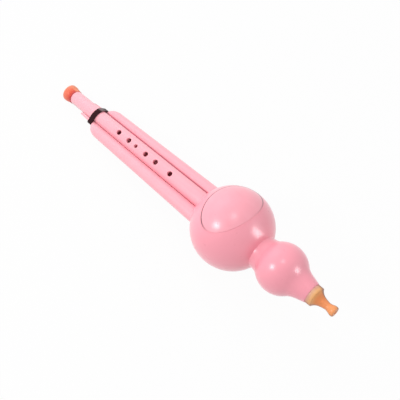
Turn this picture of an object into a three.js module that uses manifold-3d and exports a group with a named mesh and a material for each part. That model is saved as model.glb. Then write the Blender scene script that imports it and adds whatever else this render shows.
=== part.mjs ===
// A gourd flute of moulded plastic, in millimetres, lying on its back with the finger holes up.
// The instrument is drawn along its own axis first: X runs from the pipes to the mouthpiece,
// Z is the playing side and X = 0 is the middle of the large bulb. It is then laid down on
// the large bulb and the rim of the end fitting.
import * as THREE from 'three';
import { mergeVertices } from 'three/addons/utils/BufferGeometryUtils.js';
import Module from 'manifold-3d';

const wasm = await Module();
wasm.setup();

// Gourd: two shells that meet in the plane through the axis
const largeBulbRadius = 43;
const smallBulbRadius = 26.1;
const bulbSpacing = 66;
const waistRadius = 17.8;
const waistLip = 2.7;
const neckRadius = 10.7;
const neckEnd = 103.3;
const neckBoreRadius = 6.8;
const neckBoreDepth = 14;
const gourdWall = 2.4;
const shellSeam = 0.3;
const webTrim = 1.2;
const neckBlendAngle = 46;
const neckHollowAngle = 38;
const neckStartShare = 0.28;
const neckEndShare = 0.4;
const neckSlopeShare = 0.35;

// Oval film let into the front of the large bulb
const inlayHalfLength = 23.5;
const inlayHalfWidth = 33.3;
const inlayThickness = 0.8;
const inlayBed = 0.3;
const inlayTilt = 2.3;
const inlayTurn = 3.2;
const inlaySkew = -5.9;

// Mouthpiece
const mouthpieceFlangeRadius = 10.4;
const mouthpieceFlangeLength = 5.8;
const mouthpieceTaperLength = 12.2;
const mouthpieceStemRadius = 3.8;
const mouthpieceLipRadius = 5.3;
const mouthpieceLipLength = 7;
const mouthpieceTipLength = 2.4;
const mouthpieceBoreRadius = 2;
const mouthpieceTipFaceRadius = 4.1;
const mouthpieceEdge = 0.9;
const mouthpieceTenonRadius = 5.2;
const mouthpieceTenonLength = 11;
const mouthpieceSealWall = 1;
const mouthpieceSealLength = 8;

// Main pipe
const mainPipeRise = 4.5;
const mainPipeTurn = 21.5;
const mainPipeEnd = -257;
const mainPipeRadiusAtGourd = 9.1;
const mainPipeRadiusAtEnd = 8;
const mainPipeBoreAtGourd = 6;
const mainPipeBoreAtEnd = 5.7;
const mainTenonRadius = 7.9;
const mainTenonLength = 10.5;
const sealWall = 0.9;
const sealWidth = 2.4;
const sealSetback = 1.5;
const fingerHoleRadius = 2.9;
const smallHoleRadius = 2.05;
const ventHoleRadius = 2.6;
const fingerHoleStations = [-172.1, -155.2, -143.4, -127.2, -111.3, -88.6];
const smallHoleIndex = 2;
const thumbHoleStation = -76;
const ventHoleStation = -197;

// Bell on the far end of the main pipe
const fittingNeckRadius = 8.5;
const fittingLength = 12.4;
const fittingRimRadius = 9.9;
const fittingRimWidth = 3.6;
const fittingRimRound = 1.8;
const fittingMouthRadius = 6.6;
const fittingBoreRadius = 4.4;
const fittingMouthDepth = 8;
const fittingTenonLength = 9;

// Drones: cones that touch the main pipe all along, drawn down to a slim tail
const droneSink = 14.4;
const droneShoulder = -196.8;
const droneRadiusAtGourd = 7.8;
const droneRadiusAtShoulder = 6.6;
const droneShoulderLength = 15;
const droneTailRadius = 2.1;
const droneTailLength = 23.2;
const droneTailTipRadius = 1.5;
const droneWall = 1.7;
const droneSoundHoleRadius = 2;
const droneSoundHoleSetback = 14;

// Rubber band round the main pipe and both tails
const bandSetback = 1.2;
const bandWidth = 6.8;
const bandThickness = 1;
const bandLean = 15;

// Bulkhead with the three sockets
const seatFace = -31;
const seatLength = 16;
const seatWebThickness = 3;
const socketWall = 2;
const droneSocketDepth = 6;
const airwayRadius = 3.4;

// Reed sets, one in line with each pipe
const holderRadius = 5;
const holderLength = 33;
const holderBoreRadius = 3.5;
const holderSpigot = 3;
const holderFlatHeight = 3.7;
const plateLength = 22;
const plateWidth = 8;
const plateThickness = 0.7;
const plateSetback = 8;
const slotLength = 14;
const slotRootWidth = 4.2;
const slotTipWidth = 1.8;
const slotSetback = 4;
const tongueThickness = 0.35;
const capRadius = 5;
const capThickness = 2;
const capPlugLength = 4;

// Clearances
const fitGap = 0.3;
const seatClearance = 0.6;
const overrun = 5;

const bulbSides = 48;
const turnedSides = 28;
const pipeSides = 32;
const smallSides = 20;
const degree = Math.PI / 180;

// Turn a geometry into a solid: shared vertices, no slivers at the poles, faces out
function solidOf(geometry) {
  geometry.deleteAttribute('normal');
  geometry.deleteAttribute('uv');
  const merged = mergeVertices(geometry);
  const points = merged.attributes.position.array;
  const corners = merged.index.array;
  const triangles = [];
  let volume = 0;
  for (let i = 0; i < corners.length; i += 3) {
    const [a, b, c] = [corners[i], corners[i + 1], corners[i + 2]];
    if (a === b || b === c || c === a) continue;
    const [p, q, r] = [a, b, c].map((k) => new THREE.Vector3().fromArray(points, 3 * k));
    volume += p.dot(q.cross(r));
    triangles.push(a, b, c);
  }
  if (volume < 0) triangles.reverse();
  const mesh = new wasm.Mesh({
    numProp: 3,
    vertProperties: new Float32Array(points),
    triVerts: new Uint32Array(triangles),
  });
  return new wasm.Manifold(mesh);
}

function named(name, solid, material) {
  const shape = solid.getMesh();
  const geometry = new THREE.BufferGeometry();
  geometry.setAttribute('position', new THREE.BufferAttribute(new Float32Array(shape.vertProperties), 3));
  geometry.setIndex(new THREE.BufferAttribute(new Uint32Array(shape.triVerts), 1));
  geometry.computeVertexNormals();
  const mesh = new THREE.Mesh(geometry, material);
  mesh.name = name;
  return mesh;
}

// A turned form about the X axis, from a profile of [station, radius] pairs
function turned(profile, sides) {
  const outline = profile.map(([station, radius]) => new THREE.Vector2(radius, station));
  const geometry = new THREE.LatheGeometry(outline, sides);
  geometry.rotateZ(-Math.PI / 2);
  return solidOf(geometry);
}

// A capped skin through round sections, each { x, y, z, radius }
function lofted(sections, sides) {
  const positions = [];
  const indices = [];
  for (const { x, y, z, radius } of sections) {
    for (let k = 0; k < sides; k += 1) {
      const angle = (2 * Math.PI * k) / sides;
      positions.push(x, y + radius * Math.cos(angle), z + radius * Math.sin(angle));
    }
  }
  for (let row = 0; row < sections.length - 1; row += 1) {
    for (let k = 0; k < sides; k += 1) {
      const a = row * sides + k;
      const b = row * sides + ((k + 1) % sides);
      indices.push(a, b, b + sides, a, b + sides, a + sides);
    }
  }
  for (const [row, first, second] of [[0, 1, 2], [sections.length - 1, 2, 1]]) {
    const { x, y, z } = sections[row];
    const hub = positions.length / 3;
    positions.push(x, y, z);
    for (let k = 0; k < sides; k += 1) {
      const rim = [0, row * sides + ((k + 1) % sides), row * sides + k];
      indices.push(hub, rim[first], rim[second]);
    }
  }
  const geometry = new THREE.BufferGeometry();
  geometry.setAttribute('position', new THREE.Float32BufferAttribute(positions, 3));
  geometry.setIndex(indices);
  return solidOf(geometry);
}

// A plain rod along X
function rod(start, end, radius, { y, z }, sides = pipeSides) {
  return lofted([{ x: start, y, z, radius }, { x: end, y, z, radius }], sides);
}

// A drill across a pipe, from its axis outwards, up for a positive reach
function drill(station, radius, reach, { y, z }) {
  const geometry = new THREE.CylinderGeometry(radius, radius, Math.abs(reach), smallSides);
  geometry.rotateX(Math.PI / 2);
  geometry.translate(station, y, z + reach / 2);
  return solidOf(geometry);
}

function block(width, depth, height, x, y, z) {
  const geometry = new THREE.BoxGeometry(width, depth, height);
  geometry.translate(x, y, z);
  return solidOf(geometry);
}

// Points on a round stretch of a profile, by angle from the +X axis
function arc(station, radius, from, to, count) {
  const points = [];
  for (let i = 0; i <= count; i += 1) {
    const angle = (from + ((to - from) * i) / count) * degree;
    points.push([station + radius * Math.cos(angle), radius * Math.sin(angle)]);
  }
  return points;
}

function curvePoints(curve, count) {
  return curve.getPoints(count).map((point) => [point.x, point.y]);
}

const lacquer = { color: 0xfeb2be, roughness: 0.25, metalness: 0 };
const pinkLacquer = () => new THREE.MeshStandardMaterial({ ...lacquer, flatShading: true });
const inlayFilm = () => new THREE.MeshStandardMaterial({ color: 0xffbcc6, roughness: 0.2, metalness: 0 });
const amber = () => new THREE.MeshStandardMaterial({ color: 0xf79a5c, roughness: 0.25, metalness: 0 });
const redAmber = () => new THREE.MeshStandardMaterial({ color: 0xe4643f, roughness: 0.25, metalness: 0 });
const rubber = () => new THREE.MeshStandardMaterial({ color: 0x2c1c20, roughness: 0.45, metalness: 0 });
const moulding = () => new THREE.MeshStandardMaterial({ color: 0xe9e4da, roughness: 0.5, metalness: 0 });
const copper = () => new THREE.MeshStandardMaterial({ color: 0xb87333, roughness: 0.35, metalness: 1 });

// Places that several pieces share
const mainAxis = { y: 0, z: mainPipeRise };
const seatInner = seatFace + seatLength;

function mainPipeRadius(x) {
  const share = (x - seatFace) / (mainPipeEnd - seatFace);
  return mainPipeRadiusAtGourd + share * (mainPipeRadiusAtEnd - mainPipeRadiusAtGourd);
}

function droneRadius(x) {
  if (x >= droneShoulder) {
    const share = (x - seatFace) / (droneShoulder - seatFace);
    return droneRadiusAtGourd + share * (droneRadiusAtShoulder - droneRadiusAtGourd);
  }
  const depth = Math.min((droneShoulder - x) / droneShoulderLength, 1);
  return droneTailRadius + (droneRadiusAtShoulder - droneTailRadius) * Math.sqrt(1 - depth * depth);
}

// The drone lies against the main pipe, droneSink degrees below its side
function droneSection(side, x, radius, grow = 0) {
  const reach = mainPipeRadius(x) + fitGap + radius;
  return {
    x,
    y: side * reach * Math.cos(droneSink * degree),
    z: mainPipeRise - reach * Math.sin(droneSink * degree),
    radius: radius + grow,
  };
}

function droneAxis(side, x) {
  return droneSection(side, x, droneRadius(x));
}

const droneSocketFloor = seatFace + droneSocketDepth;
const droneInnerEnd = droneSocketFloor - fitGap;
const droneTailStart = droneShoulder - droneShoulderLength;
const droneTailEnd = droneTailStart - droneTailLength;
const socketAxes = { main: mainAxis, left: droneAxis(-1, seatFace), right: droneAxis(1, seatFace) };

// Gourd
function gourdOutline() {
  const lipRadius = waistRadius + waistLip;
  const largeLip = Math.asin(waistRadius / largeBulbRadius) / degree;
  const smallLip = Math.asin(lipRadius / smallBulbRadius) / degree;
  const large = arc(0, largeBulbRadius, 180, largeLip, 15);
  const small = arc(bulbSpacing, smallBulbRadius, 180 - smallLip, neckBlendAngle, 9);
  const [largeX] = large.at(-1);
  const [smallX] = small[0];
  // The waist is a crease on the large bulb, from which the skin rises smoothly into the small bulb
  const rise = (bulbSpacing - smallX) / lipRadius;
  const valley = new THREE.QuadraticBezierCurve(
    new THREE.Vector2(largeX, waistRadius),
    new THREE.Vector2(smallX - waistLip / rise, waistRadius),
    new THREE.Vector2(smallX, lipRadius),
  );
  const [startX, startRadius] = small.at(-1);
  const length = neckEnd - startX;
  const fall = 1 / Math.tan((90 - neckBlendAngle) * degree);
  const neck = new THREE.CubicBezierCurve(
    new THREE.Vector2(startX, startRadius),
    new THREE.Vector2(startX + neckStartShare * length, startRadius - neckStartShare * length / fall),
    new THREE.Vector2(neckEnd - neckEndShare * length, neckRadius + neckEndShare * neckSlopeShare * length),
    new THREE.Vector2(neckEnd, neckRadius),
  );
  const middle = curvePoints(valley, 4).slice(1, -1);
  return [...large, ...middle, ...small, ...curvePoints(neck, 6).slice(1)];
}

function gourdHollow() {
  const largeHollow = largeBulbRadius - gourdWall;
  const smallHollow = smallBulbRadius - gourdWall;
  const waistHollow = waistRadius - gourdWall;
  const largeLip = Math.asin(waistHollow / largeHollow) / degree;
  const smallLip = Math.asin(waistHollow / smallHollow) / degree;
  return [
    [neckEnd, neckBoreRadius],
    [neckEnd - neckBoreDepth, neckBoreRadius],
    ...arc(bulbSpacing, smallHollow, neckHollowAngle, 180 - smallLip, 6),
    ...arc(0, largeHollow, largeLip, 180, 14),
  ];
}

function pipeCutters() {
  const outside = -largeBulbRadius - overrun;
  const inside = seatFace + overrun;
  const cutters = [rod(outside, inside, mainPipeRadiusAtGourd + fitGap, mainAxis)];
  for (const side of [-1, 1]) {
    const ends = [outside, inside].map((x) => droneSection(side, x, droneRadius(x), fitGap));
    cutters.push(lofted(ends, pipeSides));
  }
  // the thin tips of the webs between the openings go where the shells meet
  const span = 2 * droneAxis(1, outside).y;
  cutters.push(block(inside - outside, span, 2 * webTrim, (inside + outside) / 2, 0, 0));
  return cutters;
}

// An oval column through the front of the large bulb, from its middle outwards
function inlayColumn(grow) {
  const reach = largeBulbRadius + overrun;
  const geometry = new THREE.CylinderGeometry(1, 1, reach, bulbSides);
  geometry.rotateX(Math.PI / 2);
  geometry.scale(inlayHalfLength + grow, inlayHalfWidth + grow, 1);
  geometry.translate(0, 0, reach / 2);
  geometry.rotateZ(inlaySkew * degree);
  geometry.rotateY(-inlayTilt * degree);
  geometry.rotateX(-inlayTurn * degree);
  return solidOf(geometry);
}

function bulbCore(depth) {
  return turned(arc(0, largeBulbRadius - depth, 180, 0, 24), bulbSides);
}

function gourd() {
  const outline = gourdOutline();
  const full = turned([...outline, [neckEnd, 0]], bulbSides);
  let body = turned([...outline, ...gourdHollow()], bulbSides);
  for (const cutter of pipeCutters()) body = body.subtract(cutter);
  const bed = inlayColumn(fitGap).subtract(bulbCore(inlayThickness + inlayBed));
  body = body.subtract(bed);
  const span = 4 * neckEnd;
  const frontHalf = block(span, span, span, 0, 0, (span + shellSeam) / 2);
  const backHalf = block(span, span, span, 0, 0, -(span + shellSeam) / 2);
  const inlay = inlayColumn(0).intersect(full).subtract(bulbCore(inlayThickness));
  return [
    named('gourd_front_shell', body.intersect(frontHalf), pinkLacquer()),
    named('gourd_back_shell', body.intersect(backHalf), pinkLacquer()),
    named('front_inlay', inlay, inlayFilm()),
  ];
}

// Mouthpiece with its sleeve, pushed into the neck
function mouthpiece() {
  const base = neckEnd + fitGap;
  const taperStart = base + mouthpieceFlangeLength;
  const stem = taperStart + mouthpieceTaperLength;
  const lip = stem + mouthpieceLipLength;
  const tip = lip + mouthpieceTipLength;
  const tenonEnd = base - mouthpieceTenonLength;
  const taper = new THREE.CubicBezierCurve(
    new THREE.Vector2(taperStart, mouthpieceFlangeRadius - mouthpieceEdge),
    new THREE.Vector2(taperStart + mouthpieceTaperLength / 3, mouthpieceStemRadius + mouthpieceEdge),
    new THREE.Vector2(stem - mouthpieceTaperLength / 3, mouthpieceStemRadius + mouthpieceEdge),
    new THREE.Vector2(stem, mouthpieceStemRadius),
  );
  const flare = new THREE.CubicBezierCurve(
    new THREE.Vector2(stem, mouthpieceStemRadius),
    new THREE.Vector2(stem + mouthpieceLipLength / 2, mouthpieceStemRadius),
    new THREE.Vector2(lip - mouthpieceLipLength / 3, mouthpieceLipRadius),
    new THREE.Vector2(lip, mouthpieceLipRadius),
  );
  const crown = new THREE.QuadraticBezierCurve(
    new THREE.Vector2(lip, mouthpieceLipRadius),
    new THREE.Vector2(tip, mouthpieceLipRadius),
    new THREE.Vector2(tip, mouthpieceTipFaceRadius),
  );
  const outside = [
    [tenonEnd, mouthpieceBoreRadius],
    [tenonEnd, mouthpieceTenonRadius],
    [base, mouthpieceTenonRadius],
    [base, mouthpieceFlangeRadius],
    [taperStart - mouthpieceEdge, mouthpieceFlangeRadius],
    ...curvePoints(taper, 7),
    ...curvePoints(flare, 5).slice(1),
    ...curvePoints(crown, 4).slice(1),
    [tip, mouthpieceBoreRadius],
    [tenonEnd, mouthpieceBoreRadius],
  ];
  const sleeveInner = mouthpieceTenonRadius + fitGap;
  const sleeveOuter = sleeveInner + mouthpieceSealWall;
  const sleeveEnd = tenonEnd + mouthpieceEdge;
  const sleeve = ring(sleeveEnd, sleeveEnd + mouthpieceSealLength, sleeveInner, sleeveOuter);
  return [
    named('mouthpiece', turned(outside, turnedSides), amber()),
    named('mouthpiece_seal', sleeve, rubber()),
  ];
}

// A square-cut ring about the X axis
function ring(start, end, inner, outer) {
  return turned([[start, inner], [start, outer], [end, outer], [end, inner], [start, inner]], pipeSides);
}

// Rubber ring near the end of the main pipe's tenon, and the groove it sits in
const sealEnd = seatFace - fitGap + mainTenonLength - sealSetback;
const sealStart = sealEnd - sealWidth;

function mainPipeSeal() {
  const seal = ring(sealStart, sealEnd, mainTenonRadius - sealWall, mainTenonRadius);
  const mesh = named('main_pipe_seal', seal, rubber());
  mesh.position.z = mainPipeRise;
  return mesh;
}

function sealGroove() {
  const floor = mainTenonRadius - sealWall - fitGap;
  return ring(sealStart - fitGap, sealEnd + fitGap, floor, mainTenonRadius + overrun);
}

// Main pipe, turned in its socket as the player left it
function mainPipe() {
  const shoulder = seatFace - fitGap;
  const inner = shoulder + mainTenonLength;
  const section = (x, radius) => ({ x, y: 0, z: 0, radius });
  let pipe = lofted([
    section(mainPipeEnd, mainPipeRadiusAtEnd),
    section(shoulder, mainPipeRadiusAtGourd),
  ], pipeSides);
  pipe = pipe.add(rod(shoulder - overrun, inner, mainTenonRadius, { y: 0, z: 0 }));
  pipe = pipe.subtract(sealGroove());
  const boreSlope = (mainPipeBoreAtGourd - mainPipeBoreAtEnd) / (inner - mainPipeEnd);
  pipe = pipe.subtract(lofted([
    section(mainPipeEnd - overrun, mainPipeBoreAtEnd - overrun * boreSlope),
    section(inner + overrun, mainPipeBoreAtGourd + overrun * boreSlope),
  ], pipeSides));
  const reach = mainPipeRadiusAtGourd + overrun;
  const centre = { y: 0, z: 0 };
  fingerHoleStations.forEach((station, index) => {
    const radius = index === smallHoleIndex ? smallHoleRadius : fingerHoleRadius;
    pipe = pipe.subtract(drill(station, radius, reach, centre));
  });
  pipe = pipe.subtract(drill(thumbHoleStation, fingerHoleRadius, -reach, centre));
  pipe = pipe.subtract(drill(ventHoleStation, ventHoleRadius, -reach, centre));
  const mesh = named('main_pipe', pipe, pinkLacquer());
  mesh.position.z = mainPipeRise;
  mesh.rotation.x = mainPipeTurn * degree;
  return mesh;
}

// Bell with a tenon in the far end of the main pipe
function endFitting() {
  const base = mainPipeEnd - fitGap;
  const rimStart = base - fittingLength + fittingRimWidth;
  const end = base - fittingLength;
  const tenonEnd = base + fittingTenonLength;
  const tenonRadius = mainPipeBoreAtEnd - fitGap;
  const flare = new THREE.CubicBezierCurve(
    new THREE.Vector2(base, fittingNeckRadius),
    new THREE.Vector2(base - (base - rimStart) / 2, fittingNeckRadius),
    new THREE.Vector2(rimStart + (base - rimStart) / 3, fittingRimRadius),
    new THREE.Vector2(rimStart, fittingRimRadius),
  );
  const rim = new THREE.QuadraticBezierCurve(
    new THREE.Vector2(end + fittingRimRound, fittingRimRadius),
    new THREE.Vector2(end, fittingRimRadius),
    new THREE.Vector2(end, fittingRimRadius - fittingRimRound),
  );
  const mouth = new THREE.QuadraticBezierCurve(
    new THREE.Vector2(end, fittingMouthRadius),
    new THREE.Vector2(end + fittingMouthDepth / 2, fittingBoreRadius),
    new THREE.Vector2(end + fittingMouthDepth, fittingBoreRadius),
  );
  const profile = [
    [tenonEnd, fittingBoreRadius],
    [tenonEnd, tenonRadius],
    [base, tenonRadius],
    ...curvePoints(flare, 6),
    ...curvePoints(rim, 4),
    ...curvePoints(mouth, 5),
    [tenonEnd, fittingBoreRadius],
  ];
  const mesh = named('end_fitting', turned(profile, turnedSides), redAmber());
  mesh.position.z = mainPipeRise;
  return mesh;
}

function drone(name, side) {
  const stations = [droneInnerEnd, droneShoulder];
  const shoulderShares = [0.25, 0.45, 0.62, 0.76, 0.87, 0.95, 1];
  for (const share of shoulderShares) stations.push(droneShoulder - share * droneShoulderLength);
  const sections = stations.map((x) => droneSection(side, x, droneRadius(x)));
  sections.push(droneSection(side, droneTailEnd + droneTailTipRadius, droneTailTipRadius));
  sections.push(droneSection(side, droneTailEnd, droneTailTipRadius / 2));
  const hollow = [droneInnerEnd + overrun, droneShoulder].map((x) => {
    const section = droneSection(side, x, droneRadius(x));
    return { ...section, radius: section.radius - droneWall };
  });
  const holeStation = droneShoulder + droneSoundHoleSetback;
  const soundHole = drill(holeStation, droneSoundHoleRadius, -droneRadiusAtGourd - overrun, droneAxis(side, holeStation));
  const solid = lofted(sections, turnedSides).subtract(lofted(hollow, turnedSides)).subtract(soundHole);
  return named(name, solid, pinkLacquer());
}

// Outline of a band stretched round several circles, each { y, z, radius }
function stretchedOutline(circles, grow) {
  const points = [];
  for (let k = 0; k < bulbSides; k += 1) {
    const angle = (2 * Math.PI * k) / bulbSides;
    const [c, s] = [Math.cos(angle), Math.sin(angle)];
    const reach = (circle) => circle.y * c + circle.z * s + circle.radius;
    const outermost = circles.reduce((best, circle) => (reach(circle) > reach(best) ? circle : best));
    const radius = outermost.radius + grow;
    points.push(new THREE.Vector2(outermost.y + radius * c, outermost.z + radius * s));
  }
  return points;
}

function pipeBand() {
  const start = droneTailStart - bandSetback - bandWidth;
  const middle = start + bandWidth / 2;
  const circles = [
    { ...mainAxis, radius: mainPipeRadius(start + bandWidth) },
    droneSection(-1, middle, droneTailRadius),
    droneSection(1, middle, droneTailRadius),
  ];
  const shape = new THREE.Shape(stretchedOutline(circles, fitGap + bandThickness));
  shape.holes.push(new THREE.Path(stretchedOutline(circles, fitGap)));
  const geometry = new THREE.ExtrudeGeometry(shape, { depth: bandWidth, bevelEnabled: false });
  geometry.rotateX(Math.PI / 2);
  geometry.rotateZ(Math.PI / 2);
  geometry.translate(start, 0, 0);
  // its front has crept towards the gourd
  const lean = new THREE.Matrix4().makeShear(0, 0, 0, 0, Math.tan(bandLean * degree), 0);
  geometry.applyMatrix4(lean);
  return named('pipe_band', solidOf(geometry), rubber());
}

// Bulkhead across the large bulb: a thin web with a socket for each pipe
function pipeSeat() {
  const webEnd = seatFace + seatWebThickness;
  let seat = rod(seatFace, webEnd, largeBulbRadius, { y: 0, z: 0 }, bulbSides);
  const bores = {
    main: { radius: mainTenonRadius + fitGap, floor: seatFace + mainTenonLength },
    left: { radius: droneRadiusAtGourd + fitGap, floor: droneSocketFloor },
    right: { radius: droneRadiusAtGourd + fitGap, floor: droneSocketFloor },
  };
  for (const key of Object.keys(bores)) {
    seat = seat.add(rod(seatFace, seatInner, bores[key].radius + socketWall, socketAxes[key]));
  }
  seat = seat.intersect(bulbCore(gourdWall + seatClearance));
  for (const key of Object.keys(bores)) {
    const axis = socketAxes[key];
    seat = seat.subtract(rod(seatFace - overrun, bores[key].floor, bores[key].radius, axis));
    seat = seat.subtract(rod(seatFace, seatInner + overrun, airwayRadius, axis, smallSides));
    const spigot = seatInner - holderSpigot;
    seat = seat.subtract(rod(spigot, seatInner + overrun, holderRadius + fitGap, axis, smallSides));
  }
  return named('pipe_seat', seat, moulding());
}


// A flat wedge, wide at the reed's root and narrow at its tip, lying in XY
function wedge(start, length, rootWidth, tipWidth, thickness) {
  const shape = new THREE.Shape([
    new THREE.Vector2(start, -rootWidth / 2),
    new THREE.Vector2(start + length, -tipWidth / 2),
    new THREE.Vector2(start + length, tipWidth / 2),
    new THREE.Vector2(start, rootWidth / 2),
  ]);
  const geometry = new THREE.ExtrudeGeometry(shape, { depth: thickness, bevelEnabled: false });
  return solidOf(geometry);
}

// Reed set drawn about its own axis, then moved into line with its pipe
function reedSet(prefix, axis) {
  const start = seatInner - holderSpigot + fitGap;
  const end = start + holderLength;
  const centre = { y: 0, z: 0 };
  const plateStart = start + plateSetback;
  const slotStart = plateStart + slotSetback;
  let holder = rod(start, end, holderRadius, centre, smallSides);
  holder = holder.subtract(rod(start - overrun, end + overrun, holderBoreRadius, centre, smallSides));
  const flatLength = plateLength + 2 * fitGap;
  const flat = block(
    flatLength, 4 * holderRadius, holderRadius,
    plateStart - fitGap + flatLength / 2, 0, holderFlatHeight + holderRadius / 2,
  );
  const window = block(
    slotLength, slotRootWidth + fitGap, holderRadius,
    slotStart + slotLength / 2, 0, holderRadius / 2 + fitGap,
  );
  holder = holder.subtract(flat).subtract(window);
  const plateBase = holderFlatHeight + fitGap;
  const plate = block(
    plateLength, plateWidth, plateThickness,
    plateStart + plateLength / 2, 0, plateBase + plateThickness / 2,
  ).subtract(wedge(slotStart, slotLength, slotRootWidth, slotTipWidth, 4 * holderRadius));
  const tongue = wedge(
    slotStart + fitGap, slotLength - 2 * fitGap,
    slotRootWidth - 2 * fitGap, slotTipWidth - 2 * fitGap, tongueThickness,
  );
  const capStart = end + fitGap;
  const cap = turned([
    [capStart - capPlugLength, 0],
    [capStart - capPlugLength, holderBoreRadius - fitGap],
    [capStart, holderBoreRadius - fitGap],
    [capStart, capRadius],
    [capStart + capThickness, capRadius],
    [capStart + capThickness, 0],
  ], smallSides);
  const tongueMesh = named(`${prefix}_reed_tongue`, tongue, copper());
  tongueMesh.position.z = plateBase + (plateThickness - tongueThickness) / 2;
  const set = new THREE.Group();
  set.add(
    named(`${prefix}_reed_holder`, holder, moulding()),
    named(`${prefix}_reed_plate`, plate, copper()),
    tongueMesh,
    named(`${prefix}_reed_cap`, cap, moulding()),
  );
  set.position.set(0, axis.y, axis.z);
  return set;
}

const instrument = new THREE.Group();
instrument.add(
  ...gourd(),
  ...mouthpiece(),
  mainPipe(),
  mainPipeSeal(),
  endFitting(),
  drone('left_drone_pipe', -1),
  drone('right_drone_pipe', 1),
  pipeBand(),
  pipeSeat(),
  reedSet('main', socketAxes.main),
  reedSet('left_drone', socketAxes.left),
  reedSet('right_drone', socketAxes.right),
);

// Lay it down on the large bulb and the bell's rim: the slope at which both reach the table
const rimReach = -(mainPipeEnd - fitGap - fittingLength + fittingRimWidth / 2);
const rimDrop = fittingRimRadius - mainPipeRise;
const restSlope = Math.asin(largeBulbRadius / Math.hypot(rimReach, rimDrop)) - Math.atan2(rimDrop, rimReach);
instrument.rotation.y = -restSlope;
instrument.updateMatrixWorld(true);
const extent = new THREE.Box3().setFromObject(instrument, true);
const middle = extent.getCenter(new THREE.Vector3());
instrument.position.set(-middle.x, -middle.y, -extent.min.z);

const group = new THREE.Group();
group.add(instrument);

export default group;
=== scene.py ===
# %% [markdown]
# A gourd flute of moulded plastic, finished in Blender.
# The solids of the instrument come in first as a fixed frame. They say where each piece sits and
# which body it moves with. Everything after that gives the pieces smooth skins, soft edges and
# finishes, without changing a single size.

# %% Load the fixed frame
import math

import bpy
from mathutils import Matrix, Vector


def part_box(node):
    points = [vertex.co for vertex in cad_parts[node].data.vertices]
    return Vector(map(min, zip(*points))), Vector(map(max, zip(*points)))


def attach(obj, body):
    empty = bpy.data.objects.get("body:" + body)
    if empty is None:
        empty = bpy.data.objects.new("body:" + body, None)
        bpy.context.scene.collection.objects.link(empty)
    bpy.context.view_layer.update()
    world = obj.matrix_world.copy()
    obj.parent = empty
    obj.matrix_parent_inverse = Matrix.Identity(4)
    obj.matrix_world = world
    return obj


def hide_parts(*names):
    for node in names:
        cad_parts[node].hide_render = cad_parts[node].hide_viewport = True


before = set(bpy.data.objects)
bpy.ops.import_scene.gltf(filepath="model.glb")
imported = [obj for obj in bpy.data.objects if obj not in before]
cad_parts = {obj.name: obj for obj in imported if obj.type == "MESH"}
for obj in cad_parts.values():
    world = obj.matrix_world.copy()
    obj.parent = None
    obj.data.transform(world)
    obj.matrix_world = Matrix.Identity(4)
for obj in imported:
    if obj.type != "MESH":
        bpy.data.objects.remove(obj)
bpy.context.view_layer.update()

print("solids:", len(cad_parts))

# %% [markdown]
# The flute is drawn along its own axis, as it would be on a lathe: X runs from the pipes to the
# mouthpiece, Z is the playing side, and X = 0 is the middle of the large bulb. At rest it lies
# on the large bulb and on the rim of the end bell, so its axis is tipped up by a few degrees.
# One matrix carries every finished piece from the drawing to its resting place. Sizes are in
# millimetres, and GAP is the clearance that the solids keep between pieces.

# %% The drawing and the resting place
MM = 0.001
GAP = 0.3
LARGE_RADIUS = 43.0
MAIN_RISE = 4.5
PIPE_END = -257.0
BELL_LENGTH, BELL_RIM_WIDTH, RIM_RADIUS = 12.4, 3.6, 9.9
BULB_FORWARD = 0.069259

rim_station = PIPE_END - GAP - BELL_LENGTH + BELL_RIM_WIDTH / 2
rim_drop = RIM_RADIUS - MAIN_RISE
rim_reach = math.hypot(rim_station, rim_drop)
slope = math.asin(LARGE_RADIUS / rim_reach) - math.atan2(rim_drop, -rim_station)
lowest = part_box("gourd_back_shell")[0]
bulb_place = Matrix.Translation((BULB_FORWARD, 0, LARGE_RADIUS * MM))
REST = bulb_place @ Matrix.Rotation(-slope, 4, "Y") @ Matrix.Scale(MM, 4)
UNIT_REST = REST.to_3x3() * (1 / MM)
AXIS = UNIT_REST @ Vector((1, 0, 0))
print("slope in degrees:", round(math.degrees(slope), 2), "lowest point of the shell:", lowest[2])

# %% [markdown]
# The camera looks down at the instrument from beside the mouthpiece. Its place was worked out
# from the outlines of the bulbs and pipes, in the drawing's own millimetres, so the resting
# matrix carries it along too.

# %% Camera
CAMERA_PLACE = Vector((254.01, -241.82, 546.1))
CAMERA_TURN = Matrix(((0.6899, -0.56595, 0.45136),
                      (0.72133, 0.58992, -0.36286),
                      (-0.06091, 0.57592, 0.81523)))
FOCAL_PIXELS, FRAME_PIXELS = 649, 400
SENSOR_WIDTH, NEAREST_SEEN = 36, 0.01

scene = bpy.context.scene
camera = bpy.data.objects.new("camera", bpy.data.cameras.new("camera"))
scene.collection.objects.link(camera)
turn = (UNIT_REST @ CAMERA_TURN).normalized()
camera.matrix_world = Matrix.Translation(REST @ CAMERA_PLACE) @ turn.to_4x4()
camera.data.sensor_width = SENSOR_WIDTH
camera.data.lens = SENSOR_WIDTH * FOCAL_PIXELS / FRAME_PIXELS
camera.data.clip_start = NEAREST_SEEN
scene.camera = camera
print("camera at", [round(v, 3) for v in camera.location])

# %% [markdown]
# The light is that of a product table: a white tent all round, a small bright lamp over the
# player's left shoulder, a tall soft strip beyond the mouthpiece and a weak lamp overhead. The
# highlights on the two bulbs give the direction of each. A broad window beyond the pipes gives
# the bulbs their soft shading, and two broad fills keep the far side and the low side of the
# bulbs from going dark. These three are too even to show in the polish, so they are hidden
# there, and the strip shows in the polish alone. The tent is a plain world light. What looks
# straight at it, or in a polish, sees white.

# %% Lamps and the tent
scene.view_settings.view_transform = "Standard"
LAMP_AIM = Vector((0.09, 0, 0.05))


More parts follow.
